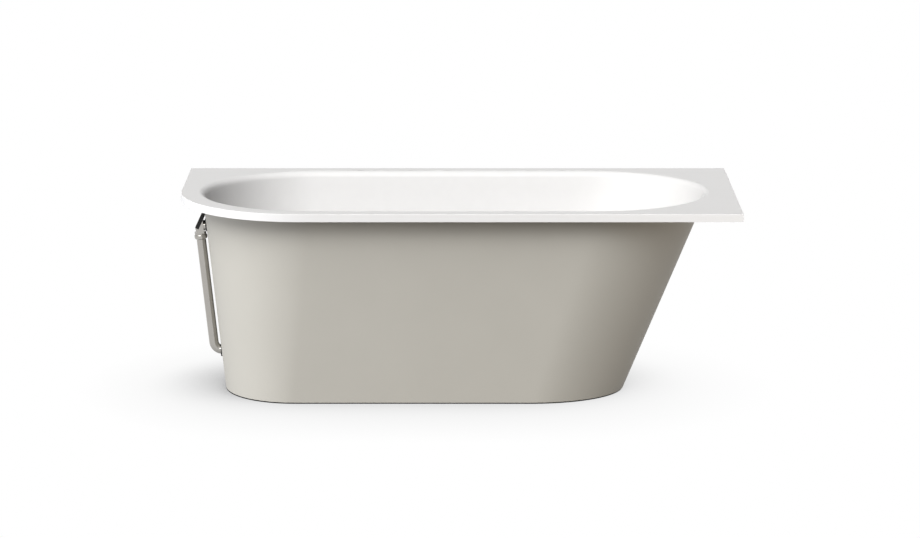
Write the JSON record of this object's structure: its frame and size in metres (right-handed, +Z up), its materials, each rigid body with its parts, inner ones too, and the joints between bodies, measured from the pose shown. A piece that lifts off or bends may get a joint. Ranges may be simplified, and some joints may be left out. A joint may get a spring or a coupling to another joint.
{
  "type": "built-in bathtub",
  "caption": "White built-in corner bathtub with a square-edged rim, one big rounded corner, an oval basin, a tapered greige outer shell and a bright overflow pipe outside its foot end.",
  "frame": {"origin": "on the floor, under the middle of the rim's rectangle", "axes": "+X along the tub from the foot end to the backrest, +Y to the back wall, +Z up"},
  "size_m": [1.7, 0.75, 0.62],
  "materials": {
    "sanitary_acrylic": "glossy white vacuum-formed acrylic",
    "greige_skin": "satin greige lacquer on moulded plastic",
    "core_board": "raw moisture-resistant board",
    "zinc_steel": "zinc-plated steel",
    "bright_metal": "bright chromed brass",
    "black_plastic": "black moulded plastic",
    "grey_plastic": "grey moulded polypropylene",
    "white_plastic": "white moulded polypropylene",
    "rubber_seal": "black sealing rubber"
  },
  "bodies": {
    "tub": {"tub_shell": "sanitary_acrylic", "rim_core": "core_board", "outer_skin": "greige_skin", "skin_screws": "zinc_steel", "base_board": "core_board", "foot_rail_left": "zinc_steel", "foot_rail_right": "zinc_steel", "rail_screws": "zinc_steel", "foot_nuts": "zinc_steel", "overflow_outer_seal": "rubber_seal", "overflow_inner_seal": "rubber_seal", "overflow_sleeve": "bright_metal", "overflow_hood": "bright_metal", "overflow_cap": "black_plastic", "overflow_pipe": "bright_metal", "collar_nut": "bright_metal", "collar_seal": "rubber_seal", "pipe_grommet": "rubber_seal", "control_cable": "grey_plastic", "waste_flange": "bright_metal", "waste_top_seal": "rubber_seal", "waste_bottom_seal": "rubber_seal", "waste_body": "grey_plastic", "lever_pin": "zinc_steel", "inlet_nut": "grey_plastic", "inlet_seal": "rubber_seal"},
    "knob": {"overflow_knob": "bright_metal", "knob_spindle": "zinc_steel", "cable_drum": "grey_plastic"},
    "plug": {"waste_plug": "bright_metal", "plug_seal": "rubber_seal", "lift_pin": "zinc_steel"},
    "lever": {"lift_lever": "grey_plastic"},
    "trap": {"trap_head": "white_plastic", "trap_nut": "white_plastic", "trap_cup": "white_plastic", "cup_seal": "rubber_seal", "outlet_pipe": "white_plastic", "outlet_nut": "white_plastic", "outlet_seal": "rubber_seal"},
    "foot_1": {"foot_spindle_1": "zinc_steel", "foot_pad_1": "black_plastic"},
    "foot_2": {"foot_spindle_2": "zinc_steel", "foot_pad_2": "black_plastic"},
    "foot_3": {"foot_spindle_3": "zinc_steel", "foot_pad_3": "black_plastic"},
    "foot_4": {"foot_spindle_4": "zinc_steel", "foot_pad_4": "black_plastic"}
  },
  "joints": [
    {"name": "knob_turn", "type": "hinge", "parent": "tub", "child": "knob", "pos_m": [-0.77383, 0, 0.512], "axis": [0.9946, 0, 0.1033], "range_deg": [0, 90]},
    {"name": "plug_lift", "type": "slide", "parent": "tub", "child": "plug", "axis": [0, 0, 1], "range_m": [0, 0.01]},
    {"name": "lever_tilt", "type": "hinge", "parent": "tub", "child": "lever", "pos_m": [-0.48936, 0, 0.104], "axis": [0, -1, 0], "range_deg": [0, 29]},
    {"name": "trap_swivel", "type": "hinge", "parent": "tub", "child": "trap", "pos_m": [-0.47, 0, 0.085], "axis": [0, 0, 1], "range_deg": [-25, 25]},
    {"name": "foot_1_level", "type": "slide", "parent": "tub", "child": "foot_1", "axis": [0, 0, 1], "range_m": [-0.016, 0.003]},
    {"name": "foot_2_level", "type": "slide", "parent": "tub", "child": "foot_2", "axis": [0, 0, 1], "range_m": [-0.016, 0.003]},
    {"name": "foot_3_level", "type": "slide", "parent": "tub", "child": "foot_3", "axis": [0, 0, 1], "range_m": [-0.016, 0.003]},
    {"name": "foot_4_level", "type": "slide", "parent": "tub", "child": "foot_4", "axis": [0, 0, 1], "range_m": [-0.016, 0.003]}
  ],
  "couplings": [
    {"joint": "plug_lift", "follows": "knob_turn", "m_per_rad": 0.006366},
    {"joint": "lever_tilt", "follows": "knob_turn", "ratio": 0.3217}
  ]
}
